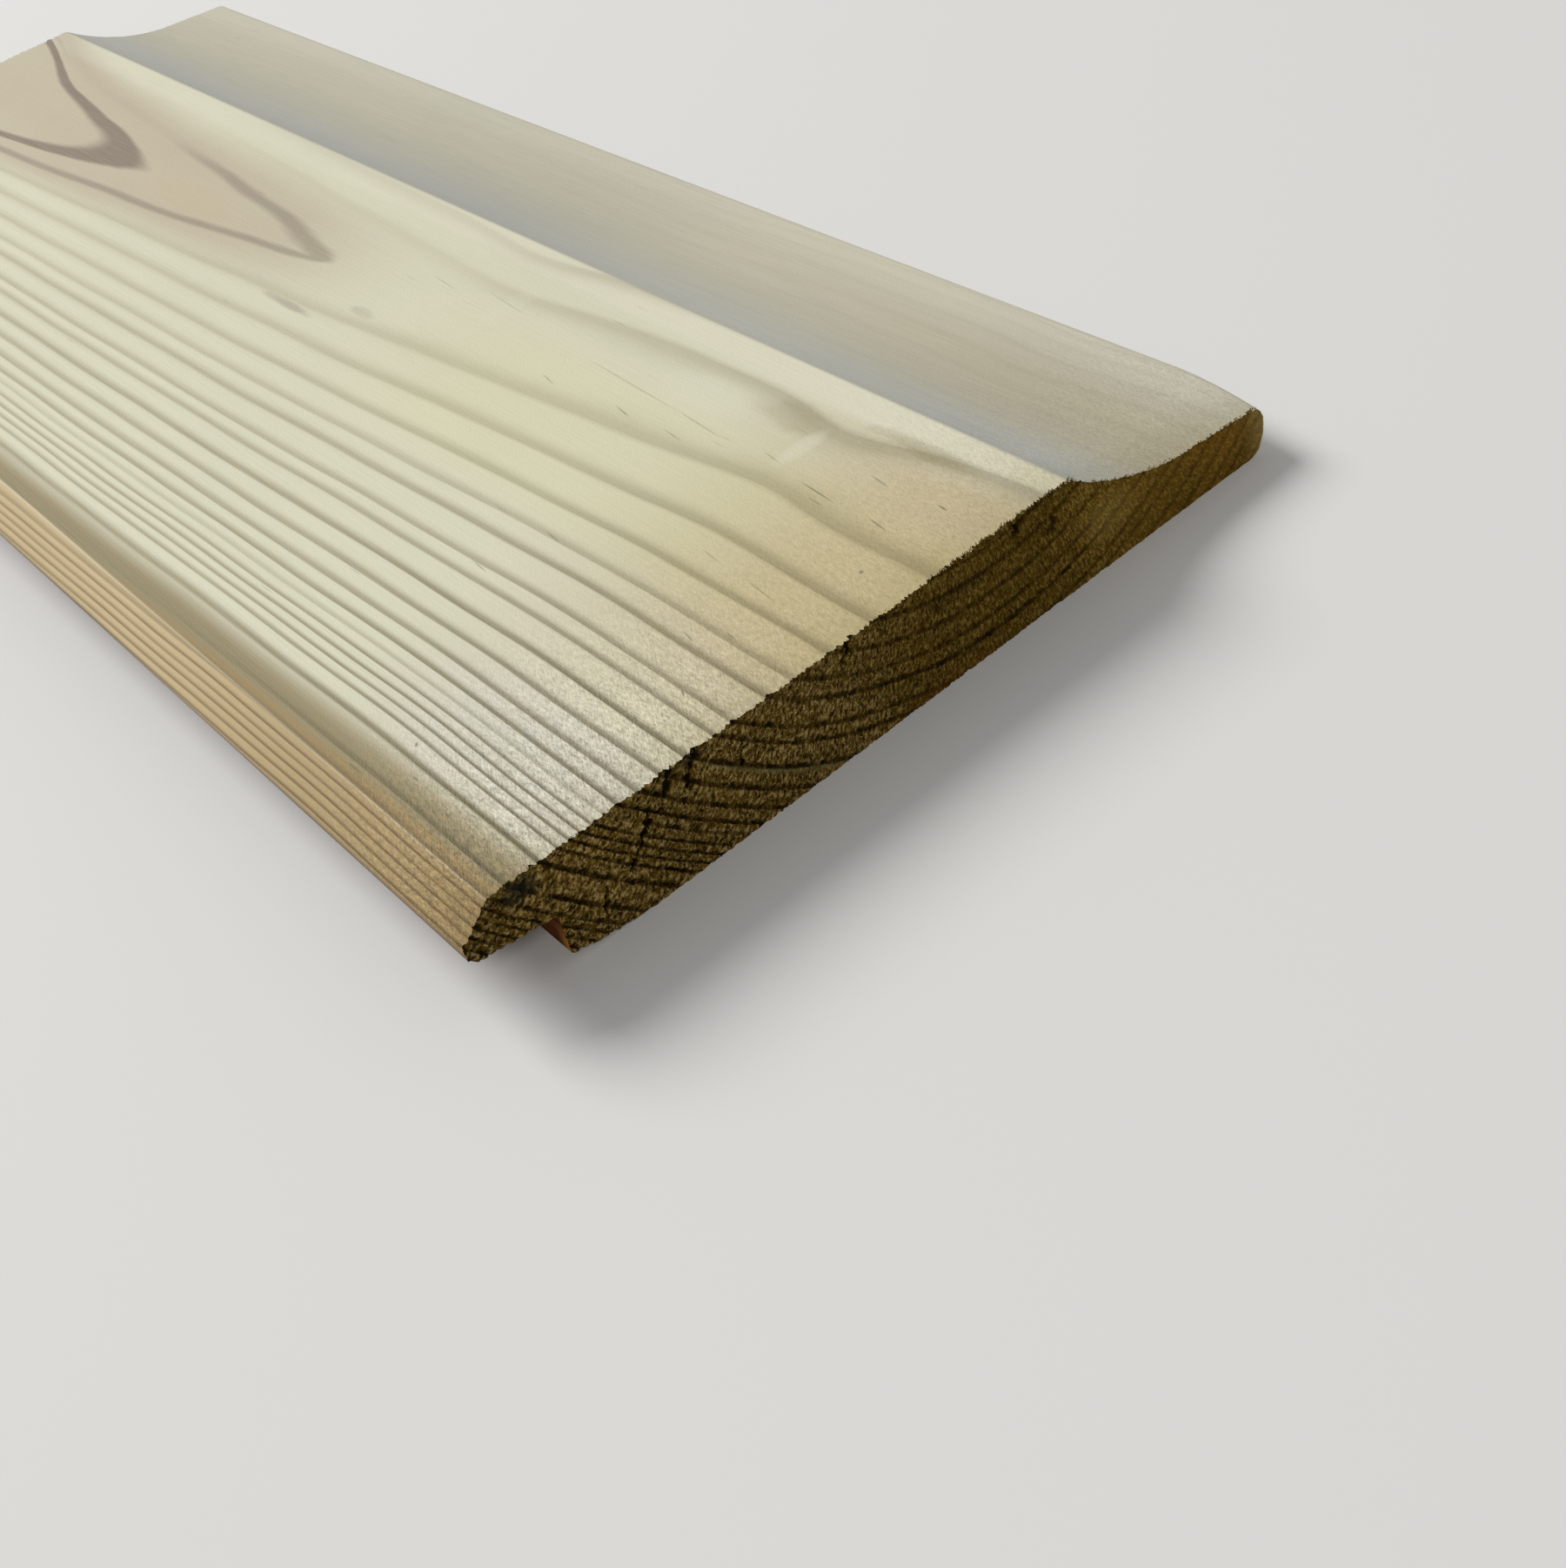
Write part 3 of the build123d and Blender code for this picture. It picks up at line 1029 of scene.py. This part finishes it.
class SCENE_OT_plain_studio(bpy.types.Operator):
    """Set a pale floor, soft lamps and the camera round the board"""

    bl_idname = "scene.plain_studio"
    bl_label = "Plain Studio"
    bl_options = {"REGISTER", "UNDO"}

    def execute(self, context):
        scene = context.scene
        studio = scene.studio_settings
        scene.view_settings.view_transform = "Standard"
        add_floor(scene, studio)
        add_lights(scene, studio)
        add_camera(scene, studio)
        return {"FINISHED"}


def add_floor(scene, studio):
    """A plain level floor under the board."""
    bm = bmesh.new()
    bmesh.ops.create_grid(bm, x_segments=1, y_segments=1, size=studio.floor_width / 2)
    mesh = bpy.data.meshes.new("floor")
    bm.to_mesh(mesh)
    bm.free()
    mesh.materials.append(plain_finish("pale floor", studio.floor_colour, 0.9))
    floor = bpy.data.objects.new("floor", mesh)
    scene.collection.objects.link(floor)


def add_lights(scene, studio):
    """A broad soft key beyond the far end, a small lamp that rakes over the near end, and even light."""
    # Each lamp's name, width, power and place
    lamps = (
        ("key", 1.8, studio.key_power, (-2.28, -0.76, 2.11)),
        ("side", 0.4, studio.side_power, (1.34, -0.7, 1.44)),
    )
    for name, size, power, place in lamps:
        light = bpy.data.lights.new(name, "AREA")
        light.shape = "DISK"
        light.size = size
        light.energy = power
        lamp = bpy.data.objects.new(name, light)
        lamp.location = place
        lamp.rotation_mode = "QUATERNION"
        lamp.rotation_quaternion = (-lamp.location).to_track_quat("-Z", "Y")
        scene.collection.objects.link(lamp)
    world = bpy.data.worlds.new("studio light")
    world.use_nodes = True
    sky = world.node_tree.nodes["Background"].inputs
    sky["Color"].default_value = (1, 1, 1, 1)
    sky["Strength"].default_value = studio.fill
    scene.world = world


def add_camera(scene, studio):
    """The camera where the photograph was taken from, close to the near end and above it."""
    camera = bpy.data.cameras.new("camera")
    camera.sensor_fit = "VERTICAL"
    camera.sensor_height = 36
    camera.sensor_width = 36
    camera.lens = studio.lens
    camera.clip_start = 0.01
    camera.clip_end = 50
    eye = bpy.data.objects.new("camera", camera)
    # The camera's axes and place, solved from the board's outline in the photograph
    right = Vector((0.63852, 0.74474, -0.19406))
    up = Vector((-0.42869, 0.55359, 0.71398))
    turn = Matrix((right, up, right.cross(up))).transposed()
    eye.location = (0.27199, -0.09759, 0.14230)
    eye.rotation_mode = "QUATERNION"
    eye.rotation_quaternion = turn.to_quaternion()
    scene.collection.objects.link(eye)
    scene.camera = eye


class VIEW3D_PT_board(bpy.types.Panel):
    """The board's panel in the sidebar."""

    bl_label = "Shiplap Board"
    bl_idname = "VIEW3D_PT_board"
    bl_space_type = "VIEW_3D"
    bl_region_type = "UI"
    bl_category = "Board"

    def draw(self, context):
        for operator in operators:
            self.layout.operator(operator.bl_idname)
        for name in groups:
            group = getattr(context.scene, name)
            box = self.layout.box()
            box.label(text=name.replace("_", " ").title())
            for setting in group.__annotations__:
                box.prop(group, setting)


groups = {
    "board_sizes": BoardSizes,
    "sawn_ends": SawnEnds,
    "wood_finish": WoodFinish,
    "studio_settings": StudioSettings,
}
operators = (OBJECT_OT_shiplap_board, OBJECT_OT_torn_fibres, SCENE_OT_plain_studio)
classes = (*groups.values(), *operators, VIEW3D_PT_board)


def register():
    for cls in classes:
        bpy.utils.register_class(cls)
    for name, group in groups.items():
        setattr(bpy.types.Scene, name, bpy.props.PointerProperty(type=group))


def unregister():
    for name in groups:
        delattr(bpy.types.Scene, name)
    for cls in reversed(classes):
        bpy.utils.unregister_class(cls)


def main():
    """Makes the board and its studio."""
    register()
    bpy.ops.object.shiplap_board()
    bpy.ops.object.torn_fibres()
    bpy.ops.scene.plain_studio()


if __name__ == "__main__":
    main()
